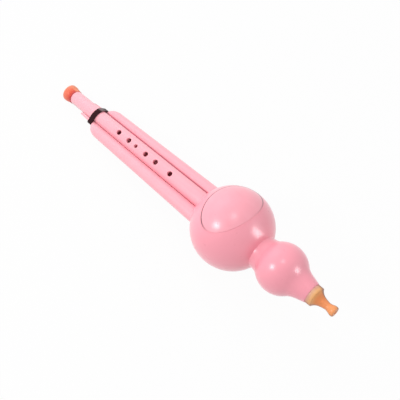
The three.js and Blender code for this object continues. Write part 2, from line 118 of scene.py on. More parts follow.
def lamp(name, direction, distance, size, watts, height=None, in_polish=True, in_shading=True):
    """An area lamp that faces the gourd. It may show in the polish, in the shading or in both."""
    data = bpy.data.lights.new(name, "AREA")
    data.shape = "RECTANGLE" if height else "DISK"
    data.size = size
    if height:
        data.size_y = height
    data.energy = watts
    obj = bpy.data.objects.new(name, data)
    scene.collection.objects.link(obj)
    towards = Vector(direction).normalized()
    obj.location = LAMP_AIM + towards * distance
    obj.rotation_euler = towards.to_track_quat("Z", "Y").to_euler()
    obj.visible_glossy = in_polish
    obj.visible_diffuse = in_shading
    return obj


lamp("key_lamp", (-0.37, -0.67, 0.65), distance=0.9, size=0.2, watts=2.4)
strip = lamp("side_strip", (0.86, 0.41, 0.27), distance=0.9, size=0.22, watts=4.2, height=0.66,
             in_shading=False)
lamp("top_lamp", (-0.08, 0.04, 1.0), distance=1.1, size=0.16, watts=0.9)
lamp("window", (-0.85, 0.2, 0.5), distance=1.6, size=1.2, watts=12, in_polish=False)
lamp("side_fill", (0.6, 0.55, 0.45), distance=1.6, size=0.8, watts=3.0, in_polish=False)
lamp("low_fill", (-0.35, -0.9, 0.2), distance=1.4, size=0.8, watts=1.4, in_polish=False)

# %% [markdown]
# From behind, the strip would burn a white patch on the film and a small one on the mouthpiece,
# and it would brighten the main pipe a little. A photographer holds a black card between a lamp
# and the thing it spoils. Light linking is that card: it names the pieces that one lamp leaves
# out.


# %% A card between a lamp and a piece
def keep_off(light, piece):
    """Keeps a lamp off one piece, as a black card would."""
    shaded = light.light_linking.receiver_collection
    if shaded is None:
        shaded = light.light_linking.receiver_collection = bpy.data.collections.new("shaded")
    shaded.objects.link(piece)
    shaded.collection_objects[-1].light_linking.link_state = "EXCLUDE"


# %% [markdown]
# Shader sums are easier to read as sums. A Wire wraps one socket, and adding or multiplying
# wires adds the Math nodes. Any other node comes from the same make method.


# %% A wire for shader sums
class Wire:
    """One socket of a node tree, which can be used in sums."""

    def __init__(self, tree, socket=None):
        self.tree = tree
        self.socket = socket

    def make(self, kind, settings=None, out=0, inputs=None):
        node = self.tree.nodes.new(kind)
        for key, value in (settings or {}).items():
            if key == "stops":
                self._stops(node, value)
            else:
                setattr(node, key, value)
        for key, value in (inputs or {}).items():
            if isinstance(value, Wire):
                self.tree.links.new(value.socket, node.inputs[key])
            else:
                node.inputs[key].default_value = value
        return Wire(self.tree, node.outputs[out])

    def _stops(self, node, stops):
        ramp = node.color_ramp.elements
        while len(ramp) < len(stops):
            ramp.new(0.5)
        for element, (place, colour) in zip(ramp, stops):
            element.position = place
            element.color = colour

    def _sum(self, operation, first, second):
        return self.make("ShaderNodeMath", {"operation": operation}, inputs={0: first, 1: second})

    def __add__(self, other):
        return self._sum("ADD", self, other)

    def __radd__(self, other):
        return self._sum("ADD", other, self)

    def __sub__(self, other):
        return self._sum("SUBTRACT", self, other)

    def __rsub__(self, other):
        return self._sum("SUBTRACT", other, self)

    def __mul__(self, other):
        return self._sum("MULTIPLY", self, other)

    def __rmul__(self, other):
        return self._sum("MULTIPLY", other, self)

    def __truediv__(self, other):
        return self._sum("DIVIDE", self, other)


def seen_directly(tree):
    """1 for what the camera sees straight, in a polish or through glass, else 0."""
    wire = Wire(tree).make("ShaderNodeLightPath", out="Is Camera Ray")
    outputs = wire.socket.node.outputs
    return wire + Wire(tree, outputs["Is Glossy Ray"]) + Wire(tree, outputs["Is Transmission Ray"])


# %% The white tent
TENT_LIGHT = 0.55

world = bpy.data.worlds.new("tent")
scene.world = world
world.use_nodes = True
world.node_tree.nodes.clear()
direct = seen_directly(world.node_tree)
tent = direct.make("ShaderNodeBackground", inputs={"Color": (1, 1, 1, 1), "Strength": TENT_LIGHT})
white = direct.make("ShaderNodeBackground", inputs={"Color": (1, 1, 1, 1), "Strength": 1.0})
surround = direct.make("ShaderNodeMixShader", inputs={0: direct, 1: tent, 2: white})
world_output = world.node_tree.nodes.new("ShaderNodeOutputWorld")
world.node_tree.links.new(surround.socket, world_output.inputs["Surface"])
print("tent light:", TENT_LIGHT)

# %% [markdown]
# A finish is one shader with its plain values set on it and its varying values painted. Colours
# are written as they look on a screen and turned into the light values that the shader wants.


# %% Helpers for finishes
def linear(red, green, blue):
    """A colour as it is seen on a screen, 0 to 255, as the linear values that shaders use."""
    parts = []
    for value in (red, green, blue):
        share = value / 255
        parts.append(share / 12.92 if share <= 0.04045 else ((share + 0.055) / 1.055) ** 2.4)
    return (*parts, 1.0)


def finish(name, **constants):
    """A new material with its plain values set on the shader, and the wires to paint it with."""
    material = bpy.data.materials.new(name)
    material.use_nodes = True
    tree = material.node_tree
    shader = tree.nodes["Principled BSDF"]
    for key, value in constants.items():
        shader.inputs[key.replace("_", " ")].default_value = value
    place = Wire(tree).make("ShaderNodeTexCoord", out="Object")
    return material, shader, place


def paint(shader, socket, wire):
    wire.tree.links.new(wire.socket, shader.inputs[socket])


def noise(place, scale, detail=2.0, roughness=0.5):
    return place.make("ShaderNodeTexNoise", inputs={
        "Vector": place, "Scale": scale, "Detail": detail, "Roughness": roughness})


def blend(wire, factor, first, second):
    return wire.make("ShaderNodeMix", {"data_type": "RGBA"}, out=2,
                     inputs={0: factor, 6: first, 7: second})


def bump(height, strength, distance):
    return height.make("ShaderNodeBump",
                       inputs={"Height": height, "Strength": strength, "Distance": distance})


# %% [markdown]
# The body colour is a sugar pink that goes right through the plastic, under a clear polish. Close
# up, moulded plastic is never quite even: the pink drifts a little over a few centimetres, the
# polish carries fine scuffs, and the skin has a shallow orange-peel ripple. Where two pieces meet
# the colour is painted with light and shade: painted shade darkens the line round the film and
# the joint of the right drone, and painted light lightens the joint of the left one. Each is a
# mask worked out from the place alone, from how far a point lies off the oval or off the main pipe.


# %% Pink polished plastic
SEAT_FACE = -31.0
MAIN_AT_GOURD, MAIN_AT_END = 9.1, 8.0
BULB_CENTRE = REST @ Vector((0, 0, 0))
FILM_SIDE = UNIT_REST @ Vector((-0.767, 0.31, 0.56))
FILM_HALF_LENGTH, FILM_HALF_WIDTH = 23.5, 33.3
FILM_TILT, FILM_TURN, FILM_SKEW = math.radians(2.3), math.radians(3.2), math.radians(-5.9)
FILM_PLACE = (Matrix.Rotation(-FILM_TURN, 4, "X") @ Matrix.Rotation(-FILM_TILT, 4, "Y")
              @ Matrix.Rotation(FILM_SKEW, 4, "Z"))
LINE_HALF_WIDTH, LINE_SOFTNESS, LINE_STRENGTH = 0.3, 0.4, 0.8
LINE_FRONT, LINE_FADE_START, LINE_FADE_END = 10, 5, 20
JOINT_OUTSIDE, JOINT_INSIDE, JOINT_STRENGTH = 2.2, 0.9, 0.75


def subtract(wire, point):
    return wire.make("ShaderNodeVectorMath", {"operation": "SUBTRACT"}, inputs={0: wire, 1: point})


def dot(wire, direction):
    return wire.make("ShaderNodeVectorMath", {"operation": "DOT_PRODUCT"}, out="Value",
                     inputs={0: wire, 1: direction})


def ramped(wire, low, high):
    """0 up to one value, 1 from the other on, with a soft step between."""
    return wire.make("ShaderNodeMapRange", {"interpolation_type": "SMOOTHSTEP"},
                     inputs={"Value": wire, "From Min": low, "From Max": high})


def along(place, start, end):
    """0 at one station of the drawing's axis and 1 at another, for painting along the instrument."""
    first = REST @ Vector((start, 0, 0))
    gap = (REST @ Vector((end, 0, 0)) - first).length * (1 if end > start else -1)
    return dot(subtract(place, first), AXIS) / gap


def spoke(place, height):
    """The arm from an axis at some height, straight out to the point that is painted."""
    offset = subtract(place, REST @ Vector((0, 0, height)))
    reach = dot(offset, AXIS)
    on_axis = reach.make("ShaderNodeVectorMath", {"operation": "SCALE"},
                         inputs={0: AXIS, "Scale": reach})
    return subtract(offset, on_axis)


def off_main_pipe(place):
    """The distance from the skin of the main pipe, which tapers towards its end."""
    arm = spoke(place, MAIN_RISE)
    distance = arm.make("ShaderNodeVectorMath", {"operation": "LENGTH"}, out="Value",
                        inputs={0: arm})
    taper = along(place, SEAT_FACE, PIPE_END) * ((MAIN_AT_GOURD - MAIN_AT_END) * MM)
    return distance + taper - MAIN_AT_GOURD * MM


def pipe_joint(place):
    """1 on a drone's skin where it lies against the main pipe."""
    return ramped(off_main_pipe(place), JOINT_OUTSIDE * MM, JOINT_INSIDE * MM) * JOINT_STRENGTH


def film_line_shade(place):
    """Painted shade in the gap round the film, on the front of the bulb, fading out on one side."""
    offset = subtract(place, BULB_CENTRE)
    film_turn = UNIT_REST @ FILM_PLACE.to_3x3()
    along_film = dot(offset, film_turn @ Vector((1, 0, 0))) / (FILM_HALF_LENGTH * MM)
    across_film = dot(offset, film_turn @ Vector((0, 1, 0))) / (FILM_HALF_WIDTH * MM)
    reach = place.make("ShaderNodeMath", {"operation": "SQRT"},
                       inputs={0: along_film * along_film + across_film * across_film})
    off_line = place.make("ShaderNodeMath", {"operation": "ABSOLUTE"}, inputs={0: reach - 1.0})
    middle = (FILM_HALF_LENGTH + FILM_HALF_WIDTH) / 2
    line = ramped(off_line, (LINE_HALF_WIDTH + LINE_SOFTNESS) / middle, LINE_HALF_WIDTH / middle)
    front = ramped(dot(offset, UNIT_REST @ Vector((0, 0, 1))), 0.0, LINE_FRONT * MM)
    side = ramped(dot(offset, FILM_SIDE), LINE_FADE_START * MM, LINE_FADE_END * MM)
    return line * front * side * LINE_STRENGTH


SPECK_SCALE, SCUFF_SCALE, PEEL_SCALE = 900.0, 160.0, 420.0
PEEL_DEPTH, POLISH = 0.0006, 0.24


def pink_plastic(name, lit, deep, drift_scale=28.0, ripple=0.02, painted_joints=()):
    """Pink plastic. Each painted joint is a mask of the place, and the painted shade or light there."""
    material, shader, place = finish(
        name, Coat_Weight=0.6, Coat_Roughness=0.28, Subsurface_Weight=0.0, IOR=1.46)
    drift = noise(place, drift_scale, detail=3.0)
    speck = noise(place, SPECK_SCALE, detail=2.0)
    colour = blend(place, drift * 0.7 + speck * 0.12, lit, deep)
    # Painted shade or painted light where two pieces meet.
    for mask, tint in painted_joints:
        colour = blend(place, mask(place), colour, tint)
    paint(shader, "Base Color", colour)
    scuffs = noise(place, SCUFF_SCALE, detail=6.0, roughness=0.65)
    paint(shader, "Roughness", scuffs * 0.10 + POLISH)
    peel = noise(place, PEEL_SCALE, detail=2.0) + drift * 0.5
    paint(shader, "Normal", bump(peel, ripple, PEEL_DEPTH))
    return material


# Painted shade: the first colour darkens the line round the film, the second the right drone's joint.
FILM_LINE_SHADE, PIPE_JOINT_SHADE = linear(70, 44, 50), linear(176, 100, 122)
# Painted light: a pale colour that lightens the left drone's joint with the main pipe.
JOINT_PAINTED_LIGHT = linear(255, 222, 228)
PIPE_LIT, PIPE_DEEP = linear(254, 179, 190), linear(251, 165, 179)
PIPE_DRIFT, PIPE_RIPPLE = 60.0, 0.006
# Painted shade on the line round the film.
gourd_pink = pink_plastic("gourd_pink", linear(252, 163, 178), linear(247, 151, 167),
                          painted_joints=[(film_line_shade, FILM_LINE_SHADE)])
melody_pink = pink_plastic("melody_pink", PIPE_LIT, PIPE_DEEP, PIPE_DRIFT, PIPE_RIPPLE)
# Painted light in the joint of the left drone.
left_pink = pink_plastic("left_pink", PIPE_LIT, PIPE_DEEP, PIPE_DRIFT, PIPE_RIPPLE,
                         painted_joints=[(pipe_joint, JOINT_PAINTED_LIGHT)])
# Painted shade in the joint of the right drone.
right_pink = pink_plastic("right_pink", PIPE_LIT, PIPE_DEEP, PIPE_DRIFT, PIPE_RIPPLE,
                          painted_joints=[(pipe_joint, PIPE_JOINT_SHADE)])
# Painted shade on the line round the film.
film_pink = pink_plastic("film_pink", linear(252, 171, 185), linear(245, 154, 168),
                         drift_scale=110.0, ripple=0.16, painted_joints=[(film_line_shade, FILM_LINE_SHADE)])
print("pinks:", [pink.name for pink in (gourd_pink, melody_pink, left_pink, right_pink, film_pink)])

# %% [markdown]
# The mouthpiece and the end bell are cast in clear resin with a dye. Some light passes through
# them, so their thick parts are deeper. The dye is stronger towards one end of each, which a ramp
# along the instrument's axis gives, and its palest stops are painted highlight: the pale rim at
# the mouthpiece's neck end and the bell's rim. The mouthpiece's sides are painted darker, as
# painted shade, and the bell's upper right side paler, as painted highlight. Each fades in with
# how much a point faces a side.

# %% Clear dyed resins
CLEARNESS = 0.15
RIGHT_AND_UP, LEFT_AND_DOWN = (0, 0.914, 0.405), (0, -0.914, -0.405)
SIDE_PAINT_START, SIDE_PAINT_FULL, SIDE_PAINT_WANDER = 0.1, 0.3, 0.2


def facing(place, height, direction):
    """How much a point of a turned piece lies on one side of its axis, from -1 to 1."""
    arm = spoke(place, height)
    unit = arm.make("ShaderNodeVectorMath", {"operation": "NORMALIZE"}, inputs={0: arm})
    return dot(unit, UNIT_REST @ Vector(direction))


def resin(name, start, end, height, stops, painted_sides):
    """Resin coloured by stops from one station to another. Each painted side, shade or light, has a
    side, an edge and a tint.
    """
    material, shader, place = finish(
        name, Transmission_Weight=CLEARNESS, IOR=1.49, Subsurface_Weight=0.0)
    wander = noise(place, 70.0, detail=2.0)
    colour = place.make("ShaderNodeValToRGB", {"stops": stops},
                        inputs={"Fac": along(place, start, end) + wander * 0.08})
    # Painted shade or painted light on one side of the piece.
    for direction, edge, tint in painted_sides:
        faced = facing(place, height, direction) + wander * SIDE_PAINT_WANDER
        painted_side = ramped(faced, edge + SIDE_PAINT_START, edge + SIDE_PAINT_FULL)
        colour = blend(place, painted_side, colour, tint)
    paint(shader, "Base Color", colour)
    paint(shader, "Roughness", noise(place, 200.0, detail=4.0) * 0.08 + 0.30)
    paint(shader, "Normal", bump(noise(place, 350.0, detail=2.0), 0.03, 0.0005))
    return material


amber_resin = resin(
    "amber_resin", start=103.0, end=131.0, height=0.0,
    # The pale pink first stops at the neck end are a painted highlight.
    stops=[(0.03, linear(230, 170, 166)), (0.1, linear(234, 174, 148)),
           (0.18, linear(246, 188, 132)), (0.27, linear(250, 180, 112)),
           (0.37, linear(242, 148, 86)), (0.62, linear(255, 158, 98)),
           (1.0, linear(255, 170, 108))],
    # Painted shade: both sides of the mouthpiece are painted darker.
    painted_sides=[(RIGHT_AND_UP, 0.78, linear(168, 100, 64)),
             (LEFT_AND_DOWN, 0.78, linear(206, 140, 102))])
red_resin = resin(
    "red_resin", start=PIPE_END, end=-270.0, height=MAIN_RISE,
    # The palest stop, at the rim, is a painted highlight.
    stops=[(0.0, linear(200, 56, 52)), (0.26, linear(228, 84, 64)),
           (0.52, linear(252, 124, 92)), (0.82, linear(252, 130, 102)),
           (1.0, linear(255, 186, 154))],
    # Painted highlight: the upper right side of the bell is painted paler.
    painted_sides=[(RIGHT_AND_UP, 0.5, linear(250, 150, 112))])
print("resins:", amber_resin.name, red_resin.name)

# %% [markdown]
# The band is plain black rubber with a soft sheen, its black mottled a little at random. Along
# the top of the band a pale grey is painted on as painted sheen, a painted highlight. The pieces
# inside are cream mouldings and springy copper sheet.


# %% Rubber, cream moulding and copper
SHEEN_SIDE, SHEEN_START, SHEEN_FULL = (0, 0.6, 0.8), 0.9, 0.99


def rubber(name):
    material, shader, place = finish(name, Specular_IOR_Level=0.1)
    mottle = noise(place, 130.0, detail=5.0, roughness=0.6)
    # Painted highlight: a pale grey sheen painted along the top of the band.
    topmost = ramped(facing(place, MAIN_RISE, SHEEN_SIDE), SHEEN_START, SHEEN_FULL)
    painted_sheen = topmost * (0.3 + mottle * 0.6)
    black = blend(place, mottle, linear(40, 12, 18), linear(54, 22, 28))
    paint(shader, "Base Color", blend(place, painted_sheen, black, linear(150, 130, 132)))
    paint(shader, "Roughness", mottle * 0.2 + 0.3)
    paint(shader, "Normal", bump(noise(place, 700.0, detail=3.0), 0.12, 0.0004))
    return material


def cream(name):
    material, shader, place = finish(name)
    drift = noise(place, 60.0, detail=3.0)
    paint(shader, "Base Color", blend(place, drift, linear(236, 229, 214), linear(224, 215, 198)))
    paint(shader, "Roughness", drift * 0.15 + 0.42)
    paint(shader, "Normal", bump(noise(place, 500.0, detail=3.0), 0.1, 0.0004))
    return material


COPPER_GRAIN = (60.0, 1200.0, 1200.0)


def copper_sheet(name):
    material, shader, place = finish(name, Metallic=1.0)
    grain = place.make("ShaderNodeMapping", inputs={"Vector": place, "Scale": COPPER_GRAIN})
    lines = noise(grain, 1.0, detail=3.0)
    paint(shader, "Base Color", blend(place, lines, linear(196, 122, 78), linear(160, 96, 60)))
    paint(shader, "Roughness", lines * 0.2 + 0.25)
    paint(shader, "Normal", bump(lines, 0.08, 0.0002))
    return material


black_rubber = rubber("black_rubber")
cream_moulding = cream("cream_moulding")
copper = copper_sheet("copper")


# %% [markdown]
# Turned pieces are made as a turner thinks of them. One vertex is placed and extruded point by
# point along the profile, and the profile is spun once round the axis. Then the seam is merged
# and the faces are turned outwards. The same few helpers serve for all of them.


# %% Helpers for turned and cut pieces
MERGE_DISTANCE = 0.001


def nothing_selected():
    if bpy.context.object and bpy.context.object.mode != "OBJECT":
        bpy.ops.object.mode_set(mode="OBJECT")
    bpy.ops.object.select_all(action="DESELECT")


def only(obj):
    nothing_selected()
    obj.select_set(True)
    bpy.context.view_layer.objects.active = obj
    return obj


def spun(name, profile, steps=96, height=0.0):
    """A solid of revolution about X from a closed profile of (station, radius) points."""
    nothing_selected()
    bpy.ops.mesh.primitive_plane_add(size=1, location=(0, 0, 0))
    obj = bpy.context.object
    obj.name = name
    bpy.ops.object.mode_set(mode="EDIT")
    bpy.ops.mesh.merge(type="CENTER")
    bpy.ops.transform.translate(value=(profile[0][0], 0, profile[0][1]))
    for (x0, r0), (x1, r1) in zip(profile, profile[1:]):
        bpy.ops.mesh.extrude_region_move(TRANSFORM_OT_translate={"value": (x1 - x0, 0, r1 - r0)})
    bpy.ops.mesh.select_all(action="SELECT")
    bpy.ops.mesh.spin(steps=steps, angle=2 * math.pi, center=(0, 0, 0), axis=(1, 0, 0))
    bpy.ops.mesh.select_all(action="SELECT")
    bpy.ops.mesh.remove_doubles(threshold=MERGE_DISTANCE)
    bpy.ops.mesh.normals_make_consistent(inside=False)
    bpy.ops.object.mode_set(mode="OBJECT")
    obj.location.z = height
    bpy.ops.object.transform_apply(location=True, rotation=True, scale=True)
    return obj


def combine(obj, tool, operation):
    """One solid cut by another, or joined to it, and the tool thrown away."""
    only(obj)
    modifier = obj.modifiers.new("cut", "BOOLEAN")
    modifier.operation = operation
    modifier.object = tool
    modifier.solver = "EXACT"
    bpy.ops.object.modifier_apply(modifier=modifier.name)
    bpy.data.objects.remove(tool)
    return obj


def copied(obj, name):
    twin = obj.copy()
    twin.data = obj.data.copy()
    twin.name = name
    scene.collection.objects.link(twin)
    return twin


def split(obj, point, normal, keep_above):
    """Cuts a solid on a plane, closes the cut and keeps one side."""
    only(obj)
    bpy.ops.object.mode_set(mode="EDIT")
    bpy.ops.mesh.select_all(action="SELECT")
    bpy.ops.mesh.bisect(plane_co=point, plane_no=normal, use_fill=True,
                        clear_inner=keep_above, clear_outer=not keep_above)
    bpy.ops.object.mode_set(mode="OBJECT")
    return obj


def settle(obj, material, body, slot, *nodes, angle=35):
    """Carries a piece to its resting place, smooths it, and gives it its finish and its body."""
    only(obj)
    obj.data.transform(REST)
    obj.data.update()
    obj.data.materials.clear()
    obj.data.materials.append(material)
    bpy.ops.object.shade_smooth_by_angle(angle=math.radians(angle))
    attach(obj, body)
    if nodes:
        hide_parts(*nodes)
    low = [min(v.co[k] for v in obj.data.vertices) for k in range(3)]
    high = [max(v.co[k] for v in obj.data.vertices) for k in range(3)]
    print(obj.name, "faces:", len(obj.data.polygons), "size in mm:",
          [round((b - a) / MM, 1) for a, b in zip(low, high)])
    return obj


def arc(centre, radius, start, end, count):
    """Points on a round stretch of a profile, by angle in degrees from +X."""
    angles = [math.radians(start + (end - start) * i / count) for i in range(count + 1)]
    return [(centre + radius * math.cos(a), radius * math.sin(a)) for a in angles]


def curve(points, count):
    """Points along a Bezier curve through its control points, of any order."""
    found = []
    for i in range(count + 1):
        t = i / count
        row = [Vector(p) for p in points]
        while len(row) > 1:
            row = [a.lerp(b, t) for a, b in zip(row, row[1:])]
        found.append(tuple(row[0]))
    return found


# %% [markdown]
# The gourd is blown like a bottle gourd: a large round bulb, a tight waist, and a small bulb
# that draws in to a neck. A real one of this kind is moulded as two shells and glued. It is
# turned here as one hollow shell, so that both halves share one smooth skin.

# %% Profile of the gourd
SMALL_RADIUS = 26.1
BULB_SPACING = 66.0
WAIST_RADIUS, WAIST_LIP = 17.8, 2.7
NECK_RADIUS, NECK_END, NECK_ANGLE = 10.7, 103.3, 46.0
NECK_BORE, NECK_BORE_DEPTH = 6.8, 14.0
NECK_PULL, NECK_LEAD, NECK_FLARE = 0.28, 0.4, 0.35
WALL = 2.4
HOLLOW_ANGLE = NECK_ANGLE - 8


def gourd_outline():
    lip = WAIST_RADIUS + WAIST_LIP
    large = arc(0, LARGE_RADIUS, 180, math.degrees(math.asin(WAIST_RADIUS / LARGE_RADIUS)), 60)
    lip_angle = 180 - math.degrees(math.asin(lip / SMALL_RADIUS))
    small = arc(BULB_SPACING, SMALL_RADIUS, lip_angle, NECK_ANGLE, 30)
    (x0, _), (x1, _) = large[-1], small[0]
    rise = (BULB_SPACING - x1) / lip
    valley = curve([(x0, WAIST_RADIUS), (x1 - WAIST_LIP / rise, WAIST_RADIUS), (x1, lip)], 14)
    start_x, start_r = small[-1]
    length = NECK_END - start_x
    fall = 1 / math.tan(math.radians(90 - NECK_ANGLE))
    neck = curve([(start_x, start_r),
                  (start_x + NECK_PULL * length, start_r - NECK_PULL * length / fall),
                  (NECK_END - NECK_LEAD * length, NECK_RADIUS + NECK_LEAD * NECK_FLARE * length),
                  (NECK_END, NECK_RADIUS)], 20)
    return large + valley[1:-1] + small + neck[1:]


def gourd_hollow():
    waist = WAIST_RADIUS - WALL
    large, small = LARGE_RADIUS - WALL, SMALL_RADIUS - WALL
    waist_angle = 180 - math.degrees(math.asin(waist / small))
    return [(NECK_END, NECK_BORE), (NECK_END - NECK_BORE_DEPTH, NECK_BORE),
            *arc(BULB_SPACING, small, HOLLOW_ANGLE, waist_angle, 14),
            *arc(0, large, math.degrees(math.asin(waist / large)), 180, 30)]


gourd = spun("gourd", gourd_outline() + gourd_hollow(), steps=144)
print("gourd points:", len(gourd.data.vertices))

# %% [markdown]
# Three pipes go into the large bulb. Each hole is as wide as its pipe plus a hair, and it runs
# right through the shell. The drones are slightly conical and lie against the main pipe all
# along, so their axes fan out towards the gourd. A pipe of changing width is drawn out from one
# circle, extruded and resized station by station.

# %% The pipes' sizes, and a helper that draws a pipe out
DRONE_AT_GOURD, DRONE_AT_SHOULDER = 7.8, 6.6
DRONE_SHOULDER = -196.8
SHOULDER_LENGTH = 15.0
TAIL_RADIUS, TAIL_LENGTH, TAIL_TIP = 2.1, 23.2, 1.5
DRONE_SINK = math.radians(14.4)
TOUCH, HAIR = 0.06, 0.04
MOUTH_CLEARANCE = 0.25
OVERRUN = 5


def main_radius(x):
    return MAIN_AT_GOURD + (x - SEAT_FACE) / (PIPE_END - SEAT_FACE) * (MAIN_AT_END - MAIN_AT_GOURD)


def drone_radius(x):
    if x >= DRONE_SHOULDER:
        share = (x - SEAT_FACE) / (DRONE_SHOULDER - SEAT_FACE)
        return DRONE_AT_GOURD + share * (DRONE_AT_SHOULDER - DRONE_AT_GOURD)
    depth = min((DRONE_SHOULDER - x) / SHOULDER_LENGTH, 1)
    return TAIL_RADIUS + (DRONE_AT_SHOULDER - TAIL_RADIUS) * math.sqrt(1 - depth * depth)


def drone_section(side, x, radius=None, grow=0.0):
    """Centre and radius of a drone at one station. Its skin all but touches the main pipe."""
    radius = drone_radius(x) if radius is None else radius
    reach = main_radius(x) + TOUCH + radius
    centre = Vector((x, side * reach * math.cos(DRONE_SINK), MAIN_RISE - reach * math.sin(DRONE_SINK)))
    return centre, radius + grow


def drawn(name, sections, steps=64):
    """A round bar drawn out from a filled circle, section by section, along X."""
    centre, radius = sections[0]
    nothing_selected()
    bpy.ops.mesh.primitive_circle_add(vertices=steps, radius=radius, fill_type="NGON",
                                      location=centre, rotation=(0, math.pi / 2, 0))
    obj = bpy.context.object
    obj.name = name
    bpy.ops.object.transform_apply(location=True, rotation=True, scale=True)
    bpy.ops.object.mode_set(mode="EDIT")
    bpy.ops.mesh.select_all(action="SELECT")
    for (c0, r0), (c1, r1) in zip(sections, sections[1:]):
        bpy.ops.mesh.extrude_region_move(TRANSFORM_OT_translate={"value": tuple(c1 - c0)})
        bpy.ops.transform.resize(value=(1, r1 / r0, r1 / r0), center_override=tuple(c1))
    bpy.ops.mesh.select_all(action="SELECT")
    bpy.ops.mesh.normals_make_consistent(inside=False)
    bpy.ops.object.mode_set(mode="OBJECT")
    return obj


# %% Open the gourd for the pipes
outside, inside = -LARGE_RADIUS - OVERRUN, SEAT_FACE + OVERRUN
mouth = [(Vector((x, 0, MAIN_RISE)), MAIN_AT_GOURD + MOUTH_CLEARANCE) for x in (outside, inside)]
gourd = combine(gourd, drawn("main_mouth", mouth), "DIFFERENCE")
for side in (-1, 1):
    ends = [drone_section(side, x, grow=HAIR) for x in (outside, inside)]
    gourd = combine(gourd, drawn("drone_mouth", ends), "DIFFERENCE")
print("opened gourd points:", len(gourd.data.vertices))

# %% [markdown]
# On the front of the large bulb sits a thin oval film, let in flush. A fine dark line shows
# where its edge meets the shell. An oval column is pushed through the front of the bulb: what
# it shares with the skin becomes the film, and a slightly larger one cuts the bed for it.

# %% Oval film and its bed
FILM_THICKNESS, FILM_BED, FILM_EDGE, FILM_GAP = 0.8, 0.3, 0.08, 0.12


def film_column(name, grow):
    reach = LARGE_RADIUS + OVERRUN
    nothing_selected()
    bpy.ops.mesh.primitive_cylinder_add(vertices=160, radius=1, depth=reach,
                                        location=(0, 0, reach / 2))
    obj = bpy.context.object
    obj.name = name
    bpy.ops.object.transform_apply(location=True, rotation=True, scale=True)
    oval = Matrix.Diagonal((FILM_HALF_LENGTH + grow, FILM_HALF_WIDTH + grow, 1, 1))
    obj.data.transform(FILM_PLACE @ oval)
    return obj


def ball(name, radius):
    return spun(name, arc(0, radius, 180, 0, 60), steps=144)


bed = combine(film_column("film_bed", FILM_GAP),
              ball("bed_floor", LARGE_RADIUS - FILM_THICKNESS - FILM_BED), "DIFFERENCE")
gourd = combine(gourd, bed, "DIFFERENCE")
rebate = combine(film_column("rebate", FILM_GAP + FILM_EDGE),
                 ball("rebate_floor", LARGE_RADIUS - FILM_EDGE), "DIFFERENCE")
gourd = combine(gourd, rebate, "DIFFERENCE")
film = combine(film_column("oval_film", 0.0),
               ball("film_skin", LARGE_RADIUS - FILM_EDGE), "INTERSECT")
crown = combine(film_column("film_crown", -FILM_EDGE),
                ball("crown_skin", LARGE_RADIUS), "INTERSECT")
film = combine(film, crown, "UNION")
film = combine(film, ball("film_back", LARGE_RADIUS - FILM_THICKNESS), "DIFFERENCE")
settle(film, film_pink, "gourd", "inlay_film", "front_inlay", angle=30)
keep_off(strip, film)

# %% Part the gourd into its two shells
PARTING = 0.01

back = split(copied(gourd, "gourd_back"), (0, 0, -PARTING), (0, 0, 1), keep_above=False)
front = split(gourd, (0, 0, PARTING), (0, 0, 1), keep_above=True)
front.name = "gourd_front"
settle(front, gourd_pink, "gourd", "pink_lacquer", "gourd_front_shell", angle=40)
settle(back, gourd_pink, "gourd", "pink_lacquer", "gourd_back_shell", angle=40)

# %% [markdown]
# The main pipe is the one that plays. It is a long, slightly tapered tube with six holes on its
# front, the third one small for tuning, and a thumb hole and a vent at its back. The player can
# turn it in its socket, and here it stands a little towards the left drone. The drills flare
# where they meet the skin, which leaves the softened edge that a moulded hole has.

# %% Main pipe with its holes
TENON_RADIUS, TENON_LENGTH = 7.9, 10.5
BORE_AT_GOURD, BORE_AT_END = 6.0, 5.7
PIPE_TURN = math.radians(21.5)
HOLE, SMALL_HOLE, VENT = 2.9, 2.05, 2.6
FINGER_HOLES = [(-172.1, HOLE), (-155.2, HOLE), (-143.4, SMALL_HOLE), (-127.2, HOLE),
                (-111.3, HOLE), (-88.6, HOLE)]
BACK_HOLES = [(-76.0, HOLE), (-197.0, VENT)]
SEAL_SETBACK, SEAL_WIDTH, SEAL_DEPTH = 1.5, 2.4, 0.9
END_ROUND, END_ROUND_MIDDLE = 0.5, 0.15
FLARE_DEPTH, FLARE_TOP, FLARE_WIDTH, FLARE_MOST, DRILL_PAST = 0.55, 0.25, 0.45, 0.6, 4

shoulder = SEAT_FACE - GAP
inner = shoulder + TENON_LENGTH
seal_end = inner - SEAL_SETBACK
seal_start = seal_end - SEAL_WIDTH
groove = TENON_RADIUS - SEAL_DEPTH - GAP
pipe = spun("melody_pipe_skin", [
    (inner, BORE_AT_GOURD), (inner, TENON_RADIUS),
    (seal_end + GAP, TENON_RADIUS), (seal_end + GAP, groove),
    (seal_start - GAP, groove), (seal_start - GAP, TENON_RADIUS),
    (shoulder, TENON_RADIUS), (shoulder, MAIN_AT_GOURD),
    (PIPE_END + END_ROUND, MAIN_AT_END),
    (PIPE_END + END_ROUND_MIDDLE, MAIN_AT_END - END_ROUND_MIDDLE),
    (PIPE_END, MAIN_AT_END - END_ROUND), (PIPE_END, BORE_AT_END), (inner, BORE_AT_GOURD)])


def drill(station, radius, back_side=False):
    """A drill that flares just before it leaves the skin, standing on the pipe's axis."""
    skin = main_radius(station)
    tool = spun("drill", [(0, 0), (0, radius), (skin - FLARE_DEPTH, radius),
                          (skin + FLARE_TOP, radius + FLARE_WIDTH),
                          (skin + DRILL_PAST, radius + FLARE_MOST), (skin + DRILL_PAST, 0)], steps=40)
    tool.data.transform(Matrix.Translation((station, 0, 0))
                        @ Matrix.Rotation(math.pi / 2 if back_side else -math.pi / 2, 4, "Y"))
    return tool


